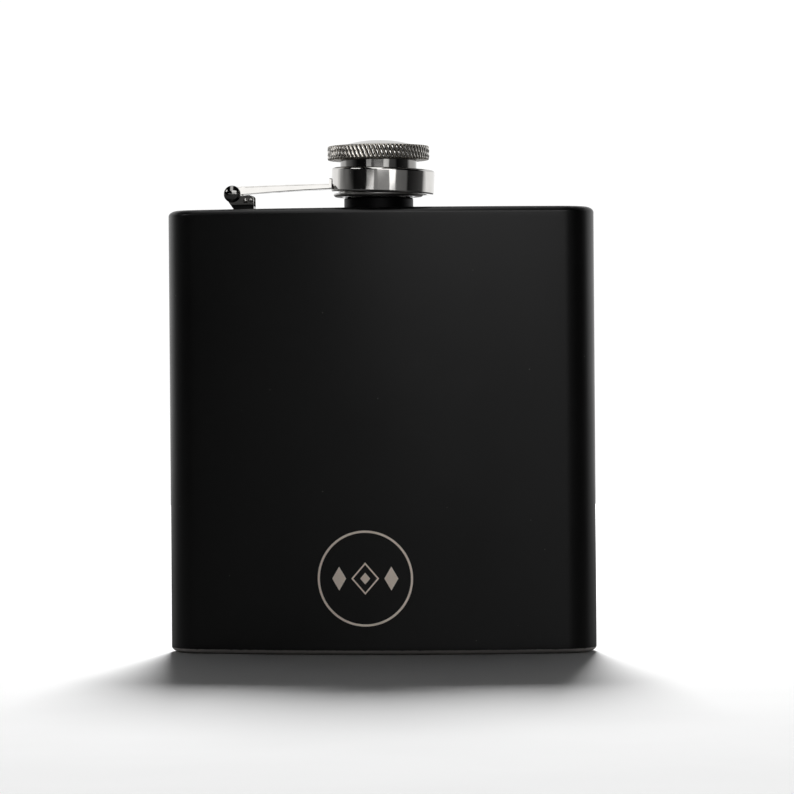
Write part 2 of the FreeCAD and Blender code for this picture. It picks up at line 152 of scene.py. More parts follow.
class HingeSettings(bpy.types.PropertyGroup):
    """Sizes of the hinge and the arm."""

    pin_radius: length("Pin Radius", "Radius of the rivet's shank", 0.7 * MM)
    ear_radius: length("Ear Radius", "Rounding of the ears round the rivet", 1.7 * MM)
    slot: length("Slot", "Gap between the ears", 3.2 * MM)
    foot_thickness: length("Foot Thickness", "Thickness of the foot", 0.8 * MM)
    knuckle_radius: length("Knuckle Radius", "Radius of the arm's knuckle", 1.75 * MM)
    knuckle_width: length("Knuckle Width", "Width of the arm between the ears", 3 * MM)
    arm_width: length("Arm Width", "Width of the arm's bar", 4.2 * MM)
    arm_side: length("Arm Side", "Height of the upright foot of the arm's sides", 0.3 * MM)
    arm_crown: length("Arm Crown", "Height of the narrow crown along the arm's top", 0.3 * MM)
    tab_width: share("Tab Width", "Half the width of the turned-up end, as a share of the arm's width", 0.62)
    tab_foot: length("Tab Foot", "Foot of the turned-up end over the shoulder", 4.4 * MM)
    tab_top: length("Tab Top", "Top of the turned-up end over the shoulder", 6.8 * MM)
    tab_back: length("Tab Back", "How far the turned-up end reaches back from the arm's tip", 0.5 * MM)
    tab_sink: length("Tab Sink", "How far the turned-up end reaches into the ring's wall", 0.1 * MM)
    foot_length: length("Foot Length", "Length of the bracket's foot along the shoulder", 4.2 * MM)
    ear_spread: length("Ear Spread", "How much further out the ears stand at the top", 0.6 * MM)
    ear_sink: length("Ear Sink", "How deep the ears reach into the shoulder", 0.35 * MM)
    heel_height: length("Heel Height", "Height of the ears' right end over the shoulder", 2.9 * MM)
    back_height: length("Back Height", "Height of the ears' back over the shoulder", 3.3 * MM)
    dip_height: length("Dip Height", "Height of the dip beside the rivet over the shoulder", 3.1 * MM)
    bead_sink: length("Bead Sink", "How deep the weld beads sit in the ears", 0.45 * MM)
    ear_bevel: length("Ear Bevel", "Rounding of the bracket's edges", 0.26 * MM)


class MarkSettings(bpy.types.PropertyGroup):
    """Sizes of the engraved mark."""

    across: length("Across", "Place of the mark's middle across the front", -2.62 * MM)
    height: length("Height", "Height of the mark's middle over the base", 16.97 * MM)
    radius: length("Radius", "Radius of the ring's middle line", 10.36 * MM)
    stroke: length("Stroke", "Width of the ring's line", 0.5 * MM)
    proud: length("Proud", "How far the mark stands over the coating", 0.02 * MM)


class FinishSettings(bpy.types.PropertyGroup):
    """Colours and gloss of the finishes."""

    coat: tint("Coat", "Matte black coating", (0.0022, 0.0021, 0.0023))
    # pale steel colour: faint rubbed wear at the shoulder, and round the base rim a painted sheen standing
    # in for the rounded edge's reflection
    worn_steel_sheen: tint("Worn Steel and Sheen", "Steel that shows where the coating is rubbed", (0.62, 0.585, 0.565))
    coat_gloss: share("Coat Gloss", "Roughness of the coating", 0.31)
    engraved: tint("Engraved", "Bare steel under the mark", (0.98, 0.87, 0.77))
    plate: tint("Plate", "Polished nickel plate", (0.72, 0.705, 0.68))
    turned: tint("Turned Steel", "Bare turned steel of the thread", (0.56, 0.55, 0.53))
    silicone: tint("Silicone", "Seal liner", (0.70, 0.69, 0.65))


class StudioSettings(bpy.types.PropertyGroup):
    """Camera and lights."""

    azimuth: turn("Azimuth", "Camera's place round the flask, to the right of the front", 5.785)
    elevation: turn("Elevation", "Camera's height angle", 0.935)
    roll: turn("Roll", "Camera's lean", -0.438)
    distance: length("Distance", "From the flask's middle to the camera", 852.5 * MM)
    lens: amount("Lens", "Focal length in millimetres", 172.9)
    middle: length("Middle", "Height that the camera's angles are taken from", 50 * MM)
    aim_across: length("Aim Across", "Where the camera looks, across", 3.62 * MM)
    aim_height: length("Aim Height", "Where the camera looks, above the base", 56.9 * MM)


GROUPS = {
    "flask_can": CanSettings,
    "flask_spout": SpoutSettings,
    "flask_cap": CapSettings,
    "flask_hinge": HingeSettings,
    "flask_mark": MarkSettings,
    "flask_finish": FinishSettings,
    "flask_studio": StudioSettings,
}


# ---------------------------------------------------------------- shapes


def rounded(corners, steps=6):
    """A closed outline of (x, y, radius) corners as points, each corner with a radius turned into an arc."""
    points = []
    for i, (x, y, radius) in enumerate(corners):
        here = Vector((x, y))
        if not radius:
            points.append(here)
            continue
        before = (Vector(corners[i - 1][:2]) - here).normalized()
        after = (Vector(corners[(i + 1) % len(corners)][:2]) - here).normalized()
        half = before.angle(after) / 2
        centre = here + (before + after).normalized() * radius / math.sin(half)
        start = here + before * radius / math.tan(half) - centre
        sweep = start.angle_signed(here + after * radius / math.tan(half) - centre)
        for step in range(steps + 1):
            points.append(centre + Matrix.Rotation(-sweep * step / steps, 2) @ start)
    return points


def arc_points(centre, radius, start, end, steps):
    """Points on an arc, the last one left to what follows."""
    angles = [start + (end - start) * i / steps for i in range(steps)]
    return [centre + Vector((math.cos(a), math.sin(a))) * radius for a in angles]


def can_outline(can, inset=0.0, long_steps=110, corner_steps=22):
    """The can's outline from above, moved inwards: always the same number of points, in step."""
    back_reach = WALL_HIGH.y
    middle = Vector((0, can.face_radius - can.front_reach))
    swing = can.face_radius - can.corner_radius
    front_x = WALL_HIGH.x - can.corner_radius
    front = Vector((front_x, middle.y - math.sqrt(swing**2 - front_x**2)))
    back = Vector((front_x - can.end_taper, back_reach - can.corner_radius))
    back_radius = (back - middle).length - can.corner_radius + inset
    side = back - front
    lean = math.atan2(-side.x, side.y)
    front_turn = math.asin(front.x / swing)
    back_turn = math.asin(back.x / (back - middle).length)
    quarter = math.pi / 2
    bend = can.corner_radius - inset
    mirror = Vector((-1, 1))
    points = arc_points(
        middle, can.face_radius - inset, -quarter - front_turn, -quarter + front_turn, long_steps
    )
    points += arc_points(front, bend, -quarter + front_turn, lean, corner_steps)
    points += arc_points(back, bend, lean, quarter + back_turn, corner_steps)
    points += arc_points(middle, back_radius, -quarter + back_turn, -quarter - back_turn, long_steps)
    points += arc_points(back * mirror, bend, quarter - back_turn, math.pi - lean, corner_steps)
    points += arc_points(front * mirror, bend, math.pi - lean, 3 * quarter - front_turn, corner_steps)
    return points


def front_surface(can, x):
    """The y of the can's front at a place across."""
    middle = can.face_radius - can.front_reach
    return middle - math.sqrt(can.face_radius**2 - x**2)


def stitch(rings, closed=False, capped=False):
    """Faces between rings of equal length; closed joins the last to the first, capped fills both ends."""
    size = len(rings[0])
    vertices = [tuple(place) for ring in rings for place in ring]
    faces = []
    for r in range(len(rings) if closed else len(rings) - 1):
        low = r * size
        high = ((r + 1) % len(rings)) * size
        for i in range(size):
            j = (i + 1) % size
            faces.append((low + i, low + j, high + j, high + i))
    if capped:
        faces.append(tuple(reversed(range(size))))
        faces.append(tuple(range((len(rings) - 1) * size, len(rings) * size)))
    return vertices, faces


def lathe(profile, segments, reach=None):
    """A solid turned about the upright axis from a closed profile of (radius, height) points. reach, where
    given, changes the radius of each point by its number in the profile and its angle."""
    vertices = []
    rings = []
    for k, (radius, height) in enumerate(profile):
        if radius < 1e-7:
            rings.append([len(vertices)])
            vertices.append((0, 0, height))
            continue
        rings.append(list(range(len(vertices), len(vertices) + segments)))
        for i in range(segments):
            angle = FULL_TURN * i / segments
            out = reach(k, angle, radius, height) if reach else radius
            vertices.append((out * math.cos(angle), out * math.sin(angle), height))
    faces = []
    for low, high in zip(rings, rings[1:] + rings[:1]):
        if len(low) == 1 and len(high) == 1:
            continue
        for i in range(segments):
            j = (i + 1) % segments
            if len(low) == 1:
                faces.append((low[0], high[j], high[i]))
            elif len(high) == 1:
                faces.append((low[i], low[j], high[0]))
            else:
                faces.append((low[i], low[j], high[j], high[i]))
    return vertices, faces


def joined(*shapes):
    """Several shapes as one."""
    vertices, faces = [], []
    for more_vertices, more_faces in shapes:
        base = len(vertices)
        vertices += more_vertices
        faces += [tuple(base + i for i in face) for face in more_faces]
    return vertices, faces


def placed(shape, matrix):
    """A shape moved by a matrix."""
    vertices, faces = shape
    return [tuple(matrix @ Vector(place)) for place in vertices], faces


def add_piece(name, shape, material, body, nodes=(), crease=35, bevel=0.0):
    """Make a mesh piece, give it its material, and let it ride and stand for its nodes."""
    mesh = bpy.data.meshes.new(name)
    mesh.from_pydata(shape[0], [], shape[1])
    mesh.validate()
    mesh.materials.append(material)
    piece = bpy.data.objects.new(name, mesh)
    bpy.context.scene.collection.objects.link(piece)
    mesh.shade_smooth()
    mesh.set_sharp_from_angle(angle=math.radians(crease))
    if bevel:
        edge = piece.modifiers.new("edges", "BEVEL")
        edge.width = bevel
        edge.segments = 3
        edge.limit_method = "ANGLE"
        edge.angle_limit = math.radians(40)
        edge.harden_normals = False
    even = piece.modifiers.new("even_normals", "WEIGHTED_NORMAL")
    even.keep_sharp = True
    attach(piece, body)
    if nodes:
        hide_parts(*nodes)
    return piece


def turned_piece(name, profile, segments, material, body, node, crease=35, reach=None):
    """Turn a profile about the neck's axis and add it as a piece."""
    turned = lathe([tuple(p) for p in profile], segments, reach)
    add_piece(name, placed(turned, Matrix.Translation(NECK)), material, body, [node], crease)


# ---------------------------------------------------------------- shader groups


def new_group(name, inputs, outputs):
    """A shader node group with named sockets; returns the group, its input node and its output node."""
    group = bpy.data.node_groups.new(name, "ShaderNodeTree")
    for label, kind, default in inputs:
        socket = group.interface.new_socket(label, in_out="INPUT", socket_type=kind)
        socket.default_value = default
    for label, kind in outputs:
        group.interface.new_socket(label, in_out="OUTPUT", socket_type=kind)
    entry = group.nodes.new("NodeGroupInput")
    leave = group.nodes.new("NodeGroupOutput")
    return group, entry, leave


def link(tree, source, target):
    tree.links.new(source, target)


def split(tree, place):
    """The X, Y and Z of a place."""
    node = tree.nodes.new("ShaderNodeSeparateXYZ")
    link(tree, place, node.inputs["Vector"])
    return node.outputs


def scaled(tree, place, across, upright):
    """A place stretched by one number across and another upright."""
    node = tree.nodes.new("ShaderNodeMapping")
    node.inputs["Scale"].default_value = (across, across, upright)
    link(tree, place, node.inputs["Vector"])
    return node.outputs["Vector"]


def math_node(tree, operation, first, second=None, clamp=False):
    node = tree.nodes.new("ShaderNodeMath")
    node.operation = operation
    node.use_clamp = clamp
    for socket, value in zip(node.inputs, (first, second)):
        if isinstance(value, (int, float)):
            socket.default_value = value
        elif value is not None:
            link(tree, value, socket)
    return node.outputs[0]


def noise_node(tree, place, scale, detail=2.0, roughness=0.5):
    node = tree.nodes.new("ShaderNodeTexNoise")
    node.inputs["Detail"].default_value = detail
    node.inputs["Roughness"].default_value = roughness
    if isinstance(scale, (int, float)):
        node.inputs["Scale"].default_value = scale
    else:
        link(tree, scale, node.inputs["Scale"])
    link(tree, place, node.inputs["Vector"])
    return node.outputs["Fac"]


def ramp_node(tree, value, low, high):
    """0 below low and 1 above high, smooth between."""
    node = tree.nodes.new("ShaderNodeMapRange")
    node.interpolation_type = "SMOOTHSTEP"
    node.inputs["From Min"].default_value = low
    node.inputs["From Max"].default_value = high
    link(tree, value, node.inputs["Value"])
    return node.outputs["Result"]


def object_place(tree):
    return tree.nodes.new("ShaderNodeTexCoord").outputs["Object"]


def build_dust_group():
    """Sparse specks of dust and lint: a mask that is 1 on a speck."""
    group, entry, leave = new_group(
        "dust_specks",
        [
            ("Scale", "NodeSocketFloat", 260.0),
            ("Size", "NodeSocketFloat", 0.06),
            ("Cover", "NodeSocketFloat", 0.5),
        ],
        [("Mask", "NodeSocketFloat")],
    )
    cells = group.nodes.new("ShaderNodeTexVoronoi")
    link(group, object_place(group), cells.inputs["Vector"])
    link(group, entry.outputs["Scale"], cells.inputs["Scale"])
    near = math_node(group, "LESS_THAN", cells.outputs["Distance"], entry.outputs["Size"])
    pick = group.nodes.new("ShaderNodeSeparateColor")
    link(group, cells.outputs["Color"], pick.inputs["Color"])
    kept = math_node(group, "LESS_THAN", pick.outputs["Red"], entry.outputs["Cover"])
    link(group, math_node(group, "MULTIPLY", near, kept), leave.inputs["Mask"])
    return group


def build_grain_group():
    """Fine grain and slow unevenness: a height for a bump and a mask for gloss."""
    group, entry, leave = new_group(
        "surface_grain",
        [
            ("Fine Scale", "NodeSocketFloat", 3000.0),
            ("Slow Scale", "NodeSocketFloat", 40.0),
            ("Fine Share", "NodeSocketFloat", 0.5),
        ],
        [("Height", "NodeSocketFloat"), ("Mottle", "NodeSocketFloat")],
    )
    place = object_place(group)
    fine = noise_node(group, place, entry.outputs["Fine Scale"], 3.0, 0.6)
    slow = noise_node(group, place, entry.outputs["Slow Scale"], 2.0, 0.5)
    share_left = math_node(group, "SUBTRACT", 1.0, entry.outputs["Fine Share"])
    mixed = math_node(
        group,
        "ADD",
        math_node(group, "MULTIPLY", fine, entry.outputs["Fine Share"]),
        math_node(group, "MULTIPLY", slow, share_left),
    )
    link(group, mixed, leave.inputs["Height"])
    link(group, slow, leave.inputs["Mottle"])
    return group


def build_rub_and_sheen_group():
    """A band at one height, broken up by noise: rubbed wear along a rim, and round the base rim a painted
    sheen.
    """
    group, entry, leave = new_group(
        "rubbed_and_sheen_band",
        [
            ("Level", "NodeSocketFloat", 0.0),
            ("Reach", "NodeSocketFloat", 0.001),
            ("Break Up", "NodeSocketFloat", 700.0),
            ("Thin", "NodeSocketFloat", 0.1),
        ],
        [("Mask", "NodeSocketFloat")],
    )
    place = object_place(group)
    offset = math_node(group, "SUBTRACT", split(group, place)["Z"], entry.outputs["Level"])
    away = math_node(group, "DIVIDE", math_node(group, "ABSOLUTE", offset), entry.outputs["Reach"])
    near = math_node(group, "SUBTRACT", 1.0, away, clamp=True)
    broken = noise_node(group, place, entry.outputs["Break Up"], 4.0, 0.65)
    rubbed = math_node(group, "SUBTRACT", math_node(group, "MULTIPLY", broken, near), entry.outputs["Thin"])
    sharp = math_node(group, "MULTIPLY", rubbed, 14.0, clamp=True)
    link(group, sharp, leave.inputs["Mask"])
    return group


def place_group(tree, group, **values):
    node = tree.nodes.new("ShaderNodeGroup")
    node.node_tree = group
    for label, value in values.items():
        node.inputs[label.replace("_", " ")].default_value = value
    return node


# ---------------------------------------------------------------- materials


def new_material(name):
    """An empty Principled material; returns the material, its tree and the shader."""
    material = bpy.data.materials.new(name)
    material.use_nodes = True
    tree = material.node_tree
    shader = next(n for n in tree.nodes if n.type == "BSDF_PRINCIPLED")
    return material, tree, shader


def mix_colour(tree, mask, first, second):
    node = tree.nodes.new("ShaderNodeMix")
    node.data_type = "RGBA"
    for socket, value in (("A", first), ("B", second)):
        target = next(s for s in node.inputs if s.name == socket and s.type == "RGBA")
        if isinstance(value, bpy.types.NodeSocket):
            link(tree, value, target)
        else:
            target.default_value = (*value, 1.0)
    link(tree, mask, node.inputs["Factor"])
    return next(s for s in node.outputs if s.type == "RGBA")


def bump(tree, shader, height, strength, distance):
    node = tree.nodes.new("ShaderNodeBump")
    node.inputs["Strength"].default_value = strength
    node.inputs["Distance"].default_value = distance
    link(tree, height, node.inputs["Height"])
    link(tree, node.outputs["Normal"], shader.inputs["Normal"])


def spread(tree, value, low, high):
    """A 0 to 1 value stretched between two limits."""
    node = tree.nodes.new("ShaderNodeMapRange")
    node.inputs["To Min"].default_value = low
    node.inputs["To Max"].default_value = high
    link(tree, value, node.inputs["Value"])
    return node.outputs["Result"]


DUST = (0.25, 0.25, 0.24)
# how the darker colour in the knurl's grooves shifts red, green and blue
GROOVE_TINT = (1.04, 0.98, 0.88)


def coating_material(groups, finish):
    """Matte black powder coat: fine grain, a slow mottle in its gloss, faint rubbed wear at the shoulder, a
    pale band round the base rim as painted sheen for its rounded edge's reflection, and a little dust.
    """
    material, tree, shader = new_material("matte_coating")
    grain = place_group(tree, groups["grain"], Fine_Scale=5200.0, Slow_Scale=55.0, Fine_Share=0.75)
    dust = place_group(tree, groups["dust"], Scale=330.0, Size=0.045, Cover=0.2)
    top = place_group(tree, groups["rub_and_sheen"], Level=SHOULDER - 0.3 * MM, Reach=0.9 * MM, Thin=0.5)
    # painted sheen: a nearly unbroken pale band round the rim the flask stands on, in place of the rounded
    # edge's reflection, coloured like coating rubbed through to steel
    foot = place_group(tree, groups["rub_and_sheen"], Level=BASE + 0.2 * MM, Reach=0.95 * MM, Thin=0.02)
    faint = math_node(tree, "MULTIPLY", top.outputs["Mask"], 0.04)
    wear_and_sheen = math_node(tree, "MAXIMUM", faint, foot.outputs["Mask"])
    base = mix_colour(tree, wear_and_sheen, finish.coat, finish.worn_steel_sheen)
    thin_dust = math_node(tree, "MULTIPLY", dust.outputs["Mask"], 0.35)
    link(tree, mix_colour(tree, thin_dust, base, DUST), shader.inputs["Base Color"])
    gloss = spread(tree, grain.outputs["Mottle"], finish.coat_gloss - 0.04, finish.coat_gloss + 0.05)
    smoother = math_node(tree, "SUBTRACT", gloss, math_node(tree, "MULTIPLY", wear_and_sheen, 0.1))
    link(tree, smoother, shader.inputs["Roughness"])
    shader.inputs["Specular IOR Level"].default_value = 0.45
    bump(tree, shader, grain.outputs["Height"], 0.25, 0.02 * MM)
    return material


def engraved_material(groups, finish):
    """Bare steel in the mark's lines, a little darker in patches."""
    material, tree, shader = new_material("engraved_steel")
    grain = place_group(tree, groups["grain"], Fine_Scale=9000.0, Slow_Scale=900.0, Fine_Share=0.6)
    darker = tuple(0.9 * c for c in finish.engraved)
    steel = mix_colour(tree, grain.outputs["Mottle"], darker, finish.engraved)
    link(tree, steel, shader.inputs["Base Color"])
    link(tree, spread(tree, grain.outputs["Height"], 0.42, 0.62), shader.inputs["Roughness"])
    shader.inputs["Metallic"].default_value = 0.9
    bump(tree, shader, grain.outputs["Height"], 0.3, 0.01 * MM)
    return material


def plate_material(groups, finish, name="nickel_plate", dim=1.0, haze=0.0, black_below=None):
    """Polished nickel plate: nearly mirror-bright, with a slow ripple and faint hazing. dim darkens it as
    painted shade, haze roughens it, and below a given height, where one is given, it takes the can's black
    coat colour."""
    material, tree, shader = new_material(name)
    grain = place_group(tree, groups["grain"], Fine_Scale=2600.0, Slow_Scale=320.0, Fine_Share=0.06)
    mottle = grain.outputs["Mottle"]
    ripple = noise_node(tree, scaled(tree, object_place(tree), 1.0, 0.3), 330.0, 1.0, 0.4)
    # dim below 1 darkens the plate: painted shade
    clean = tuple(dim * c for c in finish.plate)
    dull = tuple(0.86 * c for c in clean)
    metal = mix_colour(tree, mottle, clean, dull)
    shader.inputs["Metallic"].default_value = 1.0
    # below the given height the plate takes the can's black coat colour, with a ragged edge
    if black_below is not None:
        ragged = math_node(tree, "MULTIPLY", mottle, 0.3 * MM)
        level = math_node(tree, "ADD", split(tree, object_place(tree))["Z"], ragged)
        bare = ramp_node(tree, level, black_below, black_below + 0.2 * MM)
        metal = mix_colour(tree, bare, finish.coat, metal)
        link(tree, bare, shader.inputs["Metallic"])
    link(tree, metal, shader.inputs["Base Color"])
    link(tree, spread(tree, mottle, 0.05 + haze, 0.11 + haze), shader.inputs["Roughness"])
    bump(tree, shader, ripple, 0.6, 0.16 * MM)
    return material


def sleeve_material(groups, finish):
    """Plate darkened as painted shade, for the cap's waist under the knob and the rivet."""
    return plate_material(groups, finish, "shaded_plate", dim=0.4)


def lip_material(groups, finish):
    """Hazy plate, for the sleeve's lip."""
    return plate_material(groups, finish, "hazed_plate", haze=0.26)


def bracket_material(groups, finish):
    """Plate a little darkened as painted shade for the bracket, with the can's black coat colour over its
    foot.
    """
    return plate_material(groups, finish, "bracket_plate", dim=0.8, black_below=SHOULDER + 1.2 * MM)


def knurl_material(groups, finish):
    """The same plate on the knurl: a painted highlight on the crests, brighter than the plate itself, and
    darker and warmer in the grooves.
    """
    material, tree, shader = new_material("knurled_plate")
    grain = place_group(tree, groups["grain"], Fine_Scale=6000.0, Slow_Scale=500.0, Fine_Share=0.4)
    parts = split(tree, object_place(tree))
    deep = math_node(tree, "SUBTRACT", parts["Y"], NECK.y)
    squares = [math_node(tree, "MULTIPLY", side, side) for side in (parts["X"], deep)]
    radius = math_node(tree, "SQRT", math_node(tree, "ADD", *squares))
    outer = (KNOB_HIGH.x - KNOB_LOW.x) / 2
    crest = ramp_node(tree, radius, outer - 0.2 * MM, outer - 0.02 * MM)
    # darker, warmer plate in the grooves; on the crests a painted highlight, lighter than the plain plate
    groove_tone = tuple(0.6 * c * shift for c, shift in zip(finish.plate, GROOVE_TINT))
    bright = tuple(min(1.0, 1.25 * c) for c in finish.plate)
    link(tree, mix_colour(tree, crest, groove_tone, bright), shader.inputs["Base Color"])
    shader.inputs["Metallic"].default_value = 1.0
    link(tree, spread(tree, crest, 0.3, 0.09), shader.inputs["Roughness"])
    bump(tree, shader, grain.outputs["Height"], 0.2, 0.02 * MM)
    return material


def spout_material(groups, finish):
    """Turned steel: bare on the thread and the lip, coated like the can on the collar."""
    material, tree, shader = new_material("turned_spout")
    grain = place_group(tree, groups["grain"], Fine_Scale=5200.0, Slow_Scale=260.0, Fine_Share=0.5)
    place = object_place(tree)
    lines = noise_node(tree, scaled(tree, place, 1.0, 18.0), 900.0, 2.0, 0.6)
    edge = math_node(tree, "ADD", split(tree, place)["Z"], math_node(tree, "MULTIPLY", lines, 0.15 * MM))
    bare = ramp_node(tree, edge, SHOULDER + 2.3 * MM, SHOULDER + 2.5 * MM)
    dark_steel = tuple(0.75 * c for c in finish.turned)
    steel = mix_colour(tree, lines, dark_steel, finish.turned)
    link(tree, mix_colour(tree, bare, finish.coat, steel), shader.inputs["Base Color"])
    link(tree, bare, shader.inputs["Metallic"])
    link(tree, spread(tree, bare, 0.42, 0.27), shader.inputs["Roughness"])
    shader.inputs["Specular IOR Level"].default_value = 0.1
    bump(tree, shader, math_node(tree, "ADD", grain.outputs["Height"], lines), 0.2, 0.015 * MM)
    return material


def silicone_material(groups, finish):
    """Satin silicone with a faint ring of pressure from the spout's lip."""
    material, tree, shader = new_material("silicone_liner")
    grain = place_group(tree, groups["grain"], Fine_Scale=2500.0, Slow_Scale=160.0, Fine_Share=0.5)
    aged = tuple(c * fade for c, fade in zip(finish.silicone, (0.9, 0.88, 0.82)))
    skin = mix_colour(tree, grain.outputs["Mottle"], aged, finish.silicone)
    link(tree, skin, shader.inputs["Base Color"])
    link(tree, spread(tree, grain.outputs["Height"], 0.45, 0.6), shader.inputs["Roughness"])
    shader.inputs["Subsurface Weight"].default_value = 0.1
    shader.inputs["Subsurface Radius"].default_value = (0.6 * MM, 0.5 * MM, 0.4 * MM)
    bump(tree, shader, grain.outputs["Height"], 0.3, 0.03 * MM)
    return material


MAKERS = {
    "matte_coating": coating_material,
    "engraved_steel": engraved_material,
    "nickel_plate": plate_material,
    "shaded_plate": sleeve_material,
    "hazed_plate": lip_material,
    "bracket_plate": bracket_material,
    "knurled_plate": knurl_material,
    "turned_spout": spout_material,
    "silicone_liner": silicone_material,
}


class FLASK_OT_finishes(bpy.types.Operator):
    """Build the shader groups and every material"""

    bl_idname = "flask.finishes"
    bl_label = "Finishes"

    def execute(self, context):
        groups = {"dust": build_dust_group(), "grain": build_grain_group(), "rub_and_sheen": build_rub_and_sheen_group()}
        for maker in MAKERS.values():
            maker(groups, context.scene.flask_finish)
        return {"FINISHED"}


def finish_of(name):
    """A material that the finishes operator has made."""
    material = bpy.data.materials.get(name)
    if material is None:
        raise RuntimeError("build the finishes first: there is no material %s" % name)
    return material


# ---------------------------------------------------------------- the can


def at_height(outline, z):
    return [Vector((p.x, p.y, z)) for p in outline]


def can_rings(can, steps):
    """Rings of the can from (inset, height) steps."""
    return [at_height(can_outline(can, inset), z) for inset, z in steps]


def neck_ring(can, radius, z):
    """A ring round the neck with one point for each point of the can's outline."""
    ring = []
    for p in can_outline(can):
        out = Vector((p.x, p.y - NECK.y)).normalized() * radius
        ring.append(Vector((out.x, NECK.y + out.y, z)))
    return ring


class FLASK_OT_can(bpy.types.Operator):
    """Build the wrapped wall, the shoulder and the base pan"""

    bl_idname = "flask.can"
    bl_label = "Can"

    def execute(self, context):
        can = context.scene.flask_can
        spout = context.scene.flask_spout
        coat = finish_of("matte_coating")
        low, high = WALL_LOW.z, WALL_HIGH.z
        levels = [low + (high - low) * i / 24 for i in range(25)]
        wall = [(0, z) for z in levels] + [(can.sheet, z) for z in (high, low)]
        tube = stitch(can_rings(can, wall), closed=True)
        add_piece("can_wall", tube, coat, "flask", ["body_sleeve"])

        turn_in = [
            (can.edge_reach * (1 - math.cos(a)), SHOULDER - can.edge_radius * (1 - math.sin(a)))
            for a in (math.pi / 2 * i / 10 for i in range(11))
        ]
        under = SHOULDER - can.sheet
        skirt = [(can.sheet * 2.6, under), (can.sheet, under - can.sheet * 0.8), (can.sheet, high)]
        outside = can_rings(can, [(0, high)] + turn_in)
        inside = can_rings(can, skirt)
        hole = [neck_ring(can, spout.stem_radius, z) for z in (SHOULDER, under)]
        shoulder = stitch(outside + hole + inside, closed=True)
        add_piece("shoulder", shoulder, coat, "flask", ["top_plate"])

        turn_under = [
            (can.edge_reach * (1 - math.sin(a)), BASE + can.edge_radius * (1 - math.cos(a)))
            for a in (math.pi / 2 * i / 10 for i in range(11))
        ]
        step = 0.25 * MM
        inset, rise = can.recess_inset, can.recess_depth
        floor = [(inset - step, 0), (inset, step * 0.5), (inset, rise - step * 0.5), (inset + step, rise)]
        below = [(inset + 0.6 * MM, rise)]
        above = [
            (inset + 0.6 * MM, rise + can.sheet),
            (inset - can.sheet, rise + can.sheet),
            (inset - can.sheet, can.sheet),
            (can.sheet * 2.6, can.sheet),
            (can.sheet, can.sheet * 1.8),
            (can.sheet, low),
        ]
        outer = [(0, low)] + list(reversed(turn_under))
        inside = [(i, BASE + z) for i, z in above]
        base = can_rings(can, inside + outer + floor + below)
        add_piece("base_pan", stitch(base, capped=True), coat, "flask", ["base_plate"])
        return {"FINISHED"}


class FLASK_OT_mark(bpy.types.Operator):
    """Build the engraved mark: a ring round three lozenges"""

    bl_idname = "flask.mark"
    bl_label = "Engraved Mark"

    def execute(self, context):
        can = context.scene.flask_can
        mark = context.scene.flask_mark

        def lay(x, z, depth):
            across = mark.across + x
            return Vector((across, front_surface(can, across) + depth, mark.height + z))

        def loop_shape(inner, outer):
            """A flat band between two loops of (x, z) points, laid on the front."""
            rings = [
                [lay(x, z, depth) for x, z in ring]
                for ring, depth in (
                    (outer, mark.proud),
                    (outer, -mark.proud),
                    (inner, -mark.proud),
                    (inner, mark.proud),
                )
            ]
            return stitch(rings, closed=True)

        def circle(radius, steps=160):
            angles = [FULL_TURN * i / steps for i in range(steps)]
            return [(radius * math.cos(a), radius * math.sin(a)) for a in angles]

        def lozenge(x, wide, tall, sides=8):
            corners = [(wide, 0), (0, tall), (-wide, 0), (0, -tall)]
            points = []
            for i, (cx, cz) in enumerate(corners):
                nx, nz = corners[(i + 1) % 4]
                shares = [k / sides for k in range(sides)]
                points += [(x + cx + (nx - cx) * k, cz + (nz - cz) * k) for k in shares]
            return points

        half = mark.stroke / 2
        pinhole = 0.01 * MM
        shapes = [loop_shape(circle(mark.radius - half), circle(mark.radius + half))]
        middle = mark.radius * 0.3
        thin = mark.stroke * 0.9
        tall = 1.15
        hollow = lozenge(0, middle - thin, tall * (middle - thin))
        shapes.append(loop_shape(hollow, lozenge(0, middle, tall * middle)))
        shapes.append(loop_shape(lozenge(0, pinhole, pinhole), lozenge(0, middle * 0.36, middle * 0.42)))
        for side in (-1, 1):
            x = side * mark.radius * 0.56
            solid = lozenge(x, middle * 0.5, middle * 0.85)
            shapes.append(loop_shape(lozenge(x, pinhole, pinhole), solid))
        steel = finish_of("engraved_steel")
        add_piece("engraved_mark", joined(*shapes), steel, "flask")
        return {"FINISHED"}


# ---------------------------------------------------------------- the spout and the cap


THREAD_STEP = 0.07 * MM


def tooth(phase):
    """Height of a thread's ridge, 0 to 1, over one pitch."""
    away = abs((phase % 1.0) - 0.5) * 2
    return min(1.0, max(0.0, (0.86 - away) / 0.64))


def thread_height(height, angle, foot, pitch, turns):
    """How far a helical ridge stands out at a height and an angle, fading in and out over its ends."""
    along = (height - foot) / pitch - angle / FULL_TURN
    run = round(along) + angle / FULL_TURN
    fade = min(1.0, max(0.0, run * 4), max(0.0, (turns - run) * 4))
    return tooth(along + 0.5) * fade


def levels_between(low, high, step):
    count = max(2, int(round((high - low) / step)))
    return [low + (high - low) * i / count for i in range(count + 1)]


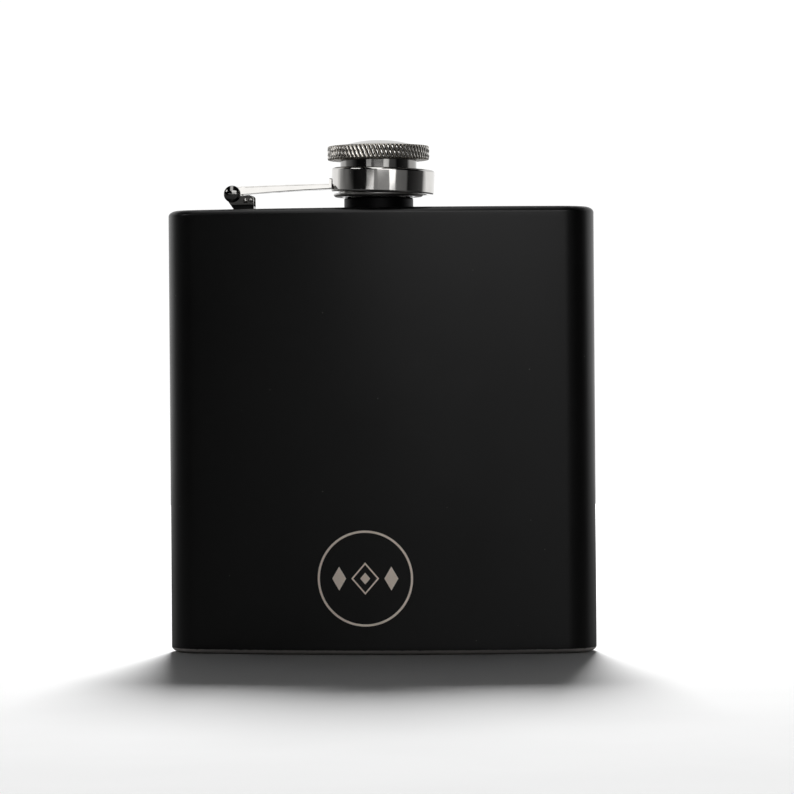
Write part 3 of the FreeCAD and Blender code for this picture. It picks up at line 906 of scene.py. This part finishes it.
class FLASK_OT_spout(bpy.types.Operator):
    """Build the threaded spout"""

    bl_idname = "flask.spout"
    bl_label = "Spout"

    def execute(self, context):
        spout = context.scene.flask_spout
        foot, top = SPOUT_LOW.z - SHOULDER, SPOUT_HIGH.z - SHOULDER
        under = -context.scene.flask_can.sheet
        flange = (SPOUT_HIGH.x - SPOUT_LOW.x) / 2
        lip = 0.4 * MM
        start = rounded(
            [
                (spout.bore_radius, foot, 0),
                (flange - 0.1 * MM, foot, 0),
                (flange - 0.1 * MM, under, 0),
                (spout.stem_radius, under, 0),
                (spout.stem_radius, 0, 0),
                (spout.collar_radius, 0, 0),
                (spout.collar_radius, spout.collar_height, lip),
                (spout.root_radius, spout.collar_height, 0.15 * MM),
                (spout.root_radius, top, 0),
            ]
        )[:-1]
        threaded = levels_between(spout.collar_height + 0.3 * MM, top - lip * 1.2, THREAD_STEP)
        finish = rounded(
            [
                (spout.root_radius, 0, 0),
                (spout.root_radius, top, lip),
                (spout.bore_radius, top, lip),
                (spout.bore_radius, 0, 0),
            ]
        )[1:-1]
        first = len(start)
        last = first + len(threaded)
        profile = start + [(spout.root_radius, z) for z in threaded] + finish

        def reach(k, angle, radius, height):
            if not first <= k < last:
                return radius
            ridge = thread_height(height, angle, spout.thread_foot, spout.pitch, spout.thread_turns)
            return radius + (spout.crest_radius - spout.root_radius) * ridge

        steel = finish_of("turned_spout")
        turned_piece("threaded_spout", profile, 160, steel, "flask", "neck_spout", 50, reach)
        return {"FINISHED"}


class FLASK_OT_sleeve(bpy.types.Operator):
    """Build the cap's threaded sleeve, its flange and the seal liner"""

    bl_idname = "flask.sleeve"
    bl_label = "Sleeve"

    def execute(self, context):
        cap = context.scene.flask_cap
        spout = context.scene.flask_spout
        low, peg = SLEEVE_LOW.z - SHOULDER, SLEEVE_HIGH.z - SHOULDER
        seat_top = FLANGE_HIGH.z - SHOULDER
        outer = rounded(
            [
                (cap.root_radius, low, 0),
                (cap.seat_radius, low, 0),
                (cap.seat_radius, seat_top, 0),
                (cap.sleeve_radius, seat_top, 0.1 * MM),
                (cap.sleeve_radius, cap.top, 0),
                (cap.spigot_radius, cap.top, 0),
                (cap.spigot_radius, peg, 0.15 * MM),
                (0, peg, 0),
                (0, cap.roof, 0),
                (cap.root_radius, cap.roof, 0),
            ]
        )
        first = len(outer)
        threaded = levels_between(low + 0.2 * MM, cap.roof - 0.2 * MM, THREAD_STEP)
        profile = outer + [(cap.root_radius, z) for z in reversed(threaded)]

        def reach(k, angle, radius, height):
            if k < first:
                return radius
            start = spout.thread_foot + spout.pitch / 2
            ridge = thread_height(height, angle, start, spout.pitch, spout.thread_turns)
            return radius - (cap.root_radius - cap.crest_radius) * ridge

        # the waist takes the plate darkened as painted shade
        dim = finish_of("shaded_plate")
        turned_piece("threaded_sleeve", profile, 160, dim, "cap", "cap_sleeve", 50, reach)

        edge = (FLANGE_HIGH.x - FLANGE_LOW.x) / 2
        lip = rounded(
            [
                (cap.seat_radius, low, 0),
                (edge - 0.45 * MM, low, 0.15 * MM),
                (edge, seat_top - 0.35 * MM, 0.2 * MM),
                (edge, seat_top, 0.15 * MM),
                (cap.seat_radius, seat_top, 0),
            ]
        )
        hazed = finish_of("hazed_plate")
        turned_piece("sleeve_lip", lip, 144, hazed, "cap", "retaining_flange")

        reach_out = (LINER_HIGH.x - LINER_LOW.x) / 2
        face, back = LINER_LOW.z - SHOULDER, LINER_HIGH.z - SHOULDER
        dent = 0.12 * MM
        disc = rounded(
            [
                (0, face, 0),
                (spout.bore_radius + 0.1 * MM, face, 0.1 * MM),
                (spout.bore_radius + 0.3 * MM, face + dent, 0.1 * MM),
                (spout.root_radius - 0.1 * MM, face + dent, 0.1 * MM),
                (spout.root_radius + 0.1 * MM, face, 0.1 * MM),
                (reach_out, face, 0.25 * MM),
                (reach_out, back, 0.1 * MM),
                (0, back, 0),
            ],
            4,
        )
        silicone = finish_of("silicone_liner")
        turned_piece("liner_disc", disc, 96, silicone, "cap", "seal_liner")
        return {"FINISHED"}


class FLASK_OT_knob(bpy.types.Operator):
    """Build the knurled knob and its dome"""

    bl_idname = "flask.knob"
    bl_label = "Knob"

    def execute(self, context):
        cap = context.scene.flask_cap
        low, top = KNOB_LOW.z - SHOULDER, KNOB_HIGH.z - SHOULDER
        outer = (KNOB_HIGH.x - KNOB_LOW.x) / 2
        inner = outer - cap.rim_wall
        ledge = inner + cap.ledge
        edge = 0.22 * MM
        rows = levels_between(low + edge, top - edge, 0.115 * MM)
        profile = [
            (cap.spigot_radius, low),
            (outer - edge * 2.2, low),
            (outer - edge * 1.3, low + edge * 0.2),
        ]
        first = len(profile)
        profile += [(outer, z) for z in rows]
        last = len(profile)
        profile += [
            (outer - edge * 1.3, top - edge * 0.2),
            (outer - edge * 2.4, top),
            (ledge + 0.1 * MM, top),
            (ledge, top - 0.1 * MM),
            (ledge, top - cap.recess),
            (inner, top - cap.recess),
            (inner, low + cap.web),
            (cap.spigot_radius, low + cap.web),
        ]
        spacing = FULL_TURN * outer / cap.knurl_count
        slant = math.tan(cap.knurl_lean) / spacing

        def wave(phase):
            return 0.5 + 0.5 * math.cos(FULL_TURN * phase)

        def reach(k, angle, radius, height):
            if not first <= k < last:
                return radius
            groove = angle / FULL_TURN * cap.knurl_count
            falling = wave(groove + height * slant)
            rising = wave(groove - height * slant)
            crest = min(falling, 0.6 + 0.4 * rising)
            near_edge = min((height - low) / edge, (top - height) / edge, 2.0) / 2.0
            return radius - cap.knurl_depth * (1 - crest) - edge * 0.5 * (1 - near_edge) ** 2

        around = cap.knurl_count * 10
        rim = finish_of("knurled_plate")
        turned_piece("knurled_knob", profile, around, rim, "cap", "knob_shell", 60, reach)

        dome_top = DOME_HIGH.z - SHOULDER
        seat = top - cap.recess

        def drop(radius, bend):
            return bend - math.sqrt(bend**2 - radius**2)

        radii = [ledge * 0.995 * i / 28 for i in range(29)]
        under_top = dome_top - cap.dome_sheet
        under_bend = cap.dome_radius - cap.dome_sheet
        lower = [(r, max(seat + 0.02 * MM, under_top - drop(r, under_bend))) for r in radii]
        upper = [(r, dome_top - drop(r, cap.dome_radius)) for r in reversed(radii)]
        plate = finish_of("nickel_plate")
        turned_piece("domed_cover", lower + upper, 144, plate, "cap", "knob_dome")
        return {"FINISHED"}


# heights of the arm's top and foot over the shoulder in millimetres: at the hinge, then what is added in
# proportion to the share of the arm's length and to that share's square
ARM_TOP = (5.2, 0.78, -0.33)
ARM_FOOT = (3.02, 1.9, -0.6)


class FLASK_OT_ring(bpy.types.Operator):
    """Build the loose ring and the arm that carries it"""

    bl_idname = "flask.ring"
    bl_label = "Ring and Arm"

    def execute(self, context):
        cap = context.scene.flask_cap
        hinge = context.scene.flask_hinge
        plate = finish_of("nickel_plate")
        half = cap.ring_height / 2
        band = rounded(
            [
                (cap.ring_bore, -half, 0.3 * MM),
                (cap.ring_radius, -half, 0.35 * MM),
                (cap.ring_radius, half, 0.6 * MM),
                (cap.ring_bore, half, 0.3 * MM),
            ]
        )
        pose = Matrix.Translation(RING_MIDDLE) @ Matrix.Rotation(cap.ring_lean, 4, "Y")
        # a hair smaller than the plain ring, so that its lean stays inside the plain ring's box
        ring = placed(lathe([(r * 0.9998, z) for r, z in band], 192), pose)
        add_piece("loose_ring", ring, plate, "arm", ["cap_ring"])

        tip = ARM_HIGH.x
        arm = joined(self.bar(hinge, tip), self.knuckle(hinge), self.tab(hinge, tip))
        add_piece("hinged_arm", arm, plate, "arm", ["cap_arm"])
        return {"FINISHED"}

    def bar(self, hinge, tip):
        """The bar: sloping sides under a narrow crown, slim between the ears and wider at the ring."""
        left = PIVOT.x + 0.2 * MM
        rings = []
        for i in range(41):
            along = i / 40
            x = left + (tip - left) * along
            top, foot = (SHOULDER + (a + b * along + c * along**2) * MM for a, b, c in (ARM_TOP, ARM_FOOT))
            widening = max(0.0, along - 0.2) / 0.8
            wide = (hinge.knuckle_width + (hinge.arm_width - hinge.knuckle_width) * widening) / 2
            tall = top - foot
            side = min(0.3 * tall, hinge.arm_side)
            run = min(0.85 * (tall - side), 0.7 * wide)
            edge = rounded(
                [
                    (wide, 0, 0.1 * MM),
                    (wide, side, 0.06 * MM),
                    (wide - run, tall - hinge.arm_crown, 0.05 * MM),
                    (wide - run - 0.05 * MM, tall, 0.12 * MM),
                    (0, tall, 0),
                ],
                4,
            )
            edge = edge[:-1]
            section = edge + [Vector((-p.x, p.y)) for p in reversed(edge)]
            rings.append([Vector((x, NECK.y + p.x, foot + p.y)) for p in section])
        return stitch(rings, capped=True)

    def tab(self, hinge, tip):
        """The arm's end, turned up against the ring."""
        half = hinge.arm_width * hinge.tab_width
        low, high = SHOULDER + hinge.tab_foot, SHOULDER + hinge.tab_top
        rings = []
        for x in (tip - hinge.tab_back, tip + hinge.tab_sink):
            outline = rounded(
                [
                    (-half, low, 0.2 * MM),
                    (half, low, 0.2 * MM),
                    (half * 0.75, high, 0.7 * MM),
                    (-half * 0.75, high, 0.7 * MM),
                ],
                6,
            )
            rings.append([Vector((x, NECK.y + p.x, p.y)) for p in outline])
        return stitch(rings, capped=True)

    def knuckle(self, hinge):
        """The barrel that turns on the rivet."""
        half = hinge.knuckle_width / 2
        hole = hinge.pin_radius + 0.04 * MM
        barrel = rounded(
            [
                (hole, -half, 0),
                (hinge.knuckle_radius, -half, 0.2 * MM),
                (hinge.knuckle_radius, half, 0.2 * MM),
                (hole, half, 0),
            ],
            3,
        )
        pose = Matrix.Translation(PIVOT) @ Matrix.Rotation(math.pi / 2, 4, "X")
        return placed(lathe([tuple(p) for p in barrel], 64), pose)


# weld beads on the ears: place to the right of the rivet, height over the shoulder, and radius
BEADS = ((2.95 * MM, 2.0 * MM, 0.6 * MM), (4.2 * MM, 2.1 * MM, 0.5 * MM))


class FLASK_OT_hinge(bpy.types.Operator):
    """Build the bracket and its rivet"""

    bl_idname = "flask.hinge"
    bl_label = "Hinge"

    def execute(self, context):
        hinge = context.scene.flask_hinge
        outside = (BRACKET_HIGH.y - BRACKET_LOW.y) / 2
        inside = hinge.slot / 2
        right = BRACKET_HIGH.x
        foot_left = right - hinge.foot_length
        level = PIVOT.z - SHOULDER
        ear = rounded(
            [
                (PIVOT.x - hinge.ear_radius, level - hinge.ear_radius * 0.35, hinge.ear_radius * 0.6),
                (foot_left, -hinge.ear_sink, 0),
                (right, -hinge.ear_sink, 0),
                (right, hinge.heel_height, 0.7 * MM),
                (right - 1.0 * MM, hinge.back_height, 0.5 * MM),
                (PIVOT.x + hinge.ear_radius * 1.05, hinge.dip_height, 0.2 * MM),
                (PIVOT.x + hinge.ear_radius * 0.75, level + hinge.ear_radius, hinge.ear_radius * 0.75),
                (PIVOT.x - hinge.ear_radius, level + hinge.ear_radius, hinge.ear_radius * 0.9),
            ],
            6,
        )
        shapes = []
        slope = hinge.ear_spread / (level + hinge.ear_radius)
        for side in (-1, 1):
            shapes.append(self.slab(ear, side * inside, side * outside, side * slope))
        upright = Matrix.Rotation(math.pi / 2, 4, "X")
        for x, z, radius in BEADS:
            angles = [math.pi * k / 10 for k in range(10, -1, -1)]
            bead = lathe([(radius * math.sin(a), radius * 0.85 * math.cos(a)) for a in angles], 24)
            for side in (-1, 1):
                y = NECK.y + side * (outside - hinge.bead_sink)
                place = Matrix.Translation((PIVOT.x + x, y, SHOULDER + z))
                shapes.append(placed(bead, place @ upright))
        foot = [
            (foot_left, 0),
            (right, 0),
            (right, hinge.foot_thickness),
            (foot_left - 0.4 * MM, hinge.foot_thickness),
        ]
        overlap = 0.1 * MM
        shapes.append(self.slab(foot, -inside - overlap, inside + overlap))
        bracket = joined(*shapes)
        # the bracket's plate is darkened as painted shade
        painted = finish_of("bracket_plate")
        add_piece(
            "hinge_ears", bracket, painted, "flask", ["hinge_bracket"], 30, hinge.ear_bevel
        )

        span = (PIN_HIGH.y - PIN_LOW.y) / 2
        head = (PIN_HIGH.z - PIN_LOW.z) / 2
        steps = 12
        angles = [math.pi / 2 * i / steps for i in range(1, steps + 1)]
        half_dome = [(head * math.sin(a), outside + (span - outside) * math.cos(a)) for a in angles]
        profile = [(0, -span)] + [(radius, -y) for radius, y in half_dome]
        profile += [(hinge.pin_radius, -outside), (hinge.pin_radius, outside)]
        profile += half_dome[::-1] + [(0, span)]
        rivet = placed(lathe(profile, 72), Matrix.Translation(PIVOT) @ upright)
        # the rivet takes the plate darkened as painted shade
        dim = finish_of("shaded_plate")
        add_piece("hinge_rivet", rivet, dim, "flask", ["hinge_pin"])
        return {"FINISHED"}

    def slab(self, outline, near, far, slope=0.0):
        """A flat outline in the plane of the front, given a thickness; slope thins it towards the foot."""
        top = max(p[1] for p in outline)
        inner = [Vector((p[0], NECK.y + near, SHOULDER + p[1])) for p in outline]
        outer = [Vector((p[0], NECK.y + far - slope * (top - p[1]), SHOULDER + p[1])) for p in outline]
        return stitch([inner, outer] if far < near else [outer, inner], capped=True)


# ---------------------------------------------------------------- the stage


# brightness of the room in reflections, by bearing in degrees from the front, to the right
ROOM = (
    (-180, 1.0),
    (-116, 1.0),
    (-106, 0.34),
    (-88, 0.22),
    (-76, 0.09),
    (-60, 0.008),
    (-50, 0.01),
    (-36, 0.01),
    (-16, 0.02),
    (-12, 0.24),
    (18, 0.28),
    (38, 0.16),
    (56, 0.12),
    (62, 0.01),
    (76, 0.02),
    (104, 0.06),
    (116, 1.0),
    (180, 1.0),
)
# bright panes in front: from and to in degrees, low and high as heights on a unit sphere, and brightness
WINDOWS = (
    (-32, -14, 0.034, 0.056, 1.5),
    (21, 35, 0.018, 0.078, 1.5),
    (-8, 36, 0.27, 0.5, 2.2),
    (-72, -50, 0.34, 0.56, 2.2),
)
# soft lights: name, place, what it faces, width and height in metres, and power in watts
LIGHTS = (
    ("rear_key", (-0.08, 1.25, 1.15), (0, 0, 0), (0.34, 0.7), 54.0),
    ("front_fill", (0.09, -0.5, 0.19), (0, 0, 0.07), (0.32, 0.1), 0.15),
)


class FLASK_OT_stage(bpy.types.Operator):
    """Build the pale floor, the lights and the camera"""

    bl_idname = "flask.stage"
    bl_label = "Stage"

    def execute(self, context):
        studio = context.scene.flask_studio
        self.floor()
        self.world(context.scene)
        for name, place, aim, size, power in LIGHTS:
            self.softbox(context.scene, name, place, aim, size, power)
        self.camera(context.scene, studio)
        context.scene.view_settings.view_transform = "Standard"
        return {"FINISHED"}

    def floor(self):
        """A plain pale floor, dim in reflections so that the flask's faces stay dark."""
        material, tree, shader = new_material("pale_floor")
        grain = noise_node(tree, object_place(tree), 30.0, 4.0)
        pale = mix_colour(tree, grain, (0.86, 0.86, 0.86), (0.9, 0.9, 0.9))
        path = tree.nodes.new("ShaderNodeLightPath")
        mirrored = mix_colour(tree, path.outputs["Is Glossy Ray"], (0.4, 0.4, 0.4), (0.06, 0.06, 0.06))
        seen = mix_colour(tree, path.outputs["Is Camera Ray"], mirrored, pale)
        link(tree, seen, shader.inputs["Base Color"])
        shader.inputs["Roughness"].default_value = 0.7
        shader.inputs["Specular IOR Level"].default_value = 0.1
        mesh = bpy.data.meshes.new("floor")
        corners = [(-2.0, -2.5, 0), (2.0, -2.5, 0), (2.0, 0.9, 0), (-2.0, 0.9, 0)]
        mesh.from_pydata(corners, [], [(0, 1, 2, 3)])
        mesh.materials.append(material)
        floor = bpy.data.objects.new("floor", mesh)
        bpy.context.scene.collection.objects.link(floor)
        floor.location.z = BASE - 0.05 * MM

    def world(self, scene):
        """White to the camera. In reflections, bright behind and dim in front, with a few bright panes and a
        panel overhead."""
        world = bpy.data.worlds.new("studio")
        world.use_nodes = True
        tree = world.node_tree
        background = next(n for n in tree.nodes if n.type == "BACKGROUND")
        parts = split(tree, tree.nodes.new("ShaderNodeTexCoord").outputs["Generated"])
        right, back, up = parts["X"], parts["Y"], parts["Z"]
        bearing = math_node(tree, "ARCTAN2", right, math_node(tree, "MULTIPLY", back, -1.0))
        whole = tree.nodes.new("ShaderNodeMapRange")
        whole.inputs["From Min"].default_value = -math.pi
        whole.inputs["From Max"].default_value = math.pi
        link(tree, bearing, whole.inputs["Value"])
        room = tree.nodes.new("ShaderNodeValToRGB")
        stops = room.color_ramp.elements
        for degrees, shade in ROOM[1:-1]:
            stops.new(degrees / 360 + 0.5)
        for stop, (degrees, shade) in zip(stops, ROOM):
            stop.position = degrees / 360 + 0.5
            stop.color = (shade, shade, shade, 1)
        link(tree, whole.outputs["Result"], room.inputs["Fac"])
        panes = 0.0
        for start, end, low, high, brightness in WINDOWS:
            across = self.window(tree, bearing, math.radians(start), math.radians(end), 0.02)
            tall = self.window(tree, up, low, high, 0.01)
            pane = math_node(tree, "MULTIPLY", math_node(tree, "MULTIPLY", across, tall), brightness)
            panes = math_node(tree, "ADD", pane, panes)
        front_fade = spread(tree, ramp_node(tree, up, 0.065, 0.12), 1.0, 0.06)
        rear_fade = spread(tree, ramp_node(tree, up, 0.08, 0.2), 1.05, 0.8)
        dark_above = spread(tree, ramp_node(tree, up, 0.52, 0.62), 1.0, 0.12)
        rear_fade = math_node(tree, "MULTIPLY", rear_fade, dark_above)
        fading = self.either(tree, ramp_node(tree, back, 0.0, 0.3), front_fade, rear_fade)
        light = math_node(tree, "MULTIPLY", room.outputs["Color"], fading)
        light = math_node(tree, "ADD", light, panes)
        wide = self.window(tree, right, -0.3, 0.04, 0.05)
        deep = self.window(tree, back, -0.9, 0.5, 0.05)
        overhead = math_node(tree, "MULTIPLY", ramp_node(tree, up, 0.4, 0.5), 1.4)
        panel = math_node(tree, "MULTIPLY", overhead, math_node(tree, "MULTIPLY", wide, deep))
        mirrored = math_node(tree, "MAXIMUM", light, panel)
        spread_out = spread(tree, ramp_node(tree, back, -0.1, 0.5), 0.004, 0.14)
        path = tree.nodes.new("ShaderNodeLightPath")
        level = self.either(tree, path.outputs["Is Diffuse Ray"], mirrored, spread_out)
        strength = self.either(tree, path.outputs["Is Camera Ray"], level, 1.05)
        link(tree, strength, background.inputs["Strength"])
        background.inputs["Color"].default_value = (1, 1, 1, 1)
        world.cycles.sampling_method = "NONE"
        scene.world = world

    def either(self, tree, choice, first, second):
        """first where the choice is 0 and second where it is 1."""
        node = tree.nodes.new("ShaderNodeMix")
        link(tree, choice, node.inputs["Factor"])
        link(tree, first, node.inputs["A"])
        if isinstance(second, (int, float)):
            node.inputs["B"].default_value = second
        else:
            link(tree, second, node.inputs["B"])
        return node.outputs["Result"]

    def window(self, tree, value, low, high, soft):
        """1 between two limits and 0 outside them."""
        rising = ramp_node(tree, value, low - soft, low + soft)
        falling = ramp_node(tree, value, high - soft, high + soft)
        return math_node(tree, "SUBTRACT", rising, falling)

    def softbox(self, scene, name, place, aim, size, power):
        """A rectangular light; the rear one is left out of reflections."""
        data = bpy.data.lights.new(name, "AREA")
        data.shape = "RECTANGLE"
        data.size, data.size_y = size
        data.energy = power
        light = bpy.data.objects.new(name, data)
        light.location = place
        light.rotation_euler = (Vector(aim) - Vector(place)).to_track_quat("-Z", "Y").to_euler()
        light.visible_camera = False
        light.visible_glossy = name != "rear_key"
        scene.collection.objects.link(light)

    def camera(self, scene, studio):
        """The camera, from its angles round a point above the base."""
        data = bpy.data.cameras.new("camera")
        data.lens = studio.lens
        data.sensor_width = 36
        data.clip_start = 0.01
        camera = bpy.data.objects.new("camera", data)
        level = math.cos(studio.elevation)
        out = Vector(
            (math.sin(studio.azimuth) * level, -math.cos(studio.azimuth) * level, math.sin(studio.elevation))
        )
        camera.location = Vector((0, 0, studio.middle)) + out * studio.distance
        aim = Vector((studio.aim_across, 0, studio.aim_height))
        look = (aim - camera.location).to_track_quat("-Z", "Y")
        camera.rotation_euler = (look.to_matrix() @ Matrix.Rotation(studio.roll, 3, "Z")).to_euler()
        scene.collection.objects.link(camera)
        scene.camera = camera


class FLASK_PT_build(bpy.types.Panel):
    """Lists the settings and the build steps"""

    bl_idname = "FLASK_PT_build"
    bl_label = "Hip Flask"
    bl_space_type = "VIEW_3D"
    bl_region_type = "UI"
    bl_category = "Flask"

    def draw(self, context):
        for step in STEPS:
            self.layout.operator(step.bl_idname)
        for name, group in GROUPS.items():
            box = self.layout.box()
            box.label(text=group.__doc__)
            for prop in group.__annotations__:
                box.prop(getattr(context.scene, name), prop)


STEPS = (
    FLASK_OT_finishes,
    FLASK_OT_can,
    FLASK_OT_mark,
    FLASK_OT_spout,
    FLASK_OT_sleeve,
    FLASK_OT_knob,
    FLASK_OT_ring,
    FLASK_OT_hinge,
    FLASK_OT_stage,
)


def register():
    for group in GROUPS.values():
        bpy.utils.register_class(group)
    for step in STEPS:
        bpy.utils.register_class(step)
    bpy.utils.register_class(FLASK_PT_build)
    for name, group in GROUPS.items():
        setattr(bpy.types.Scene, name, PointerProperty(type=group))


def unregister():
    for name in GROUPS:
        delattr(bpy.types.Scene, name)
    bpy.utils.unregister_class(FLASK_PT_build)
    for step in reversed(STEPS):
        bpy.utils.unregister_class(step)
    for group in reversed(GROUPS.values()):
        bpy.utils.unregister_class(group)


def main():
    register()
    bpy.ops.flask.finishes()
    bpy.ops.flask.can()
    bpy.ops.flask.mark()
    bpy.ops.flask.spout()
    bpy.ops.flask.sleeve()
    bpy.ops.flask.knob()
    bpy.ops.flask.ring()
    bpy.ops.flask.hinge()
    bpy.ops.flask.stage()


if __name__ == "__main__":
    main()
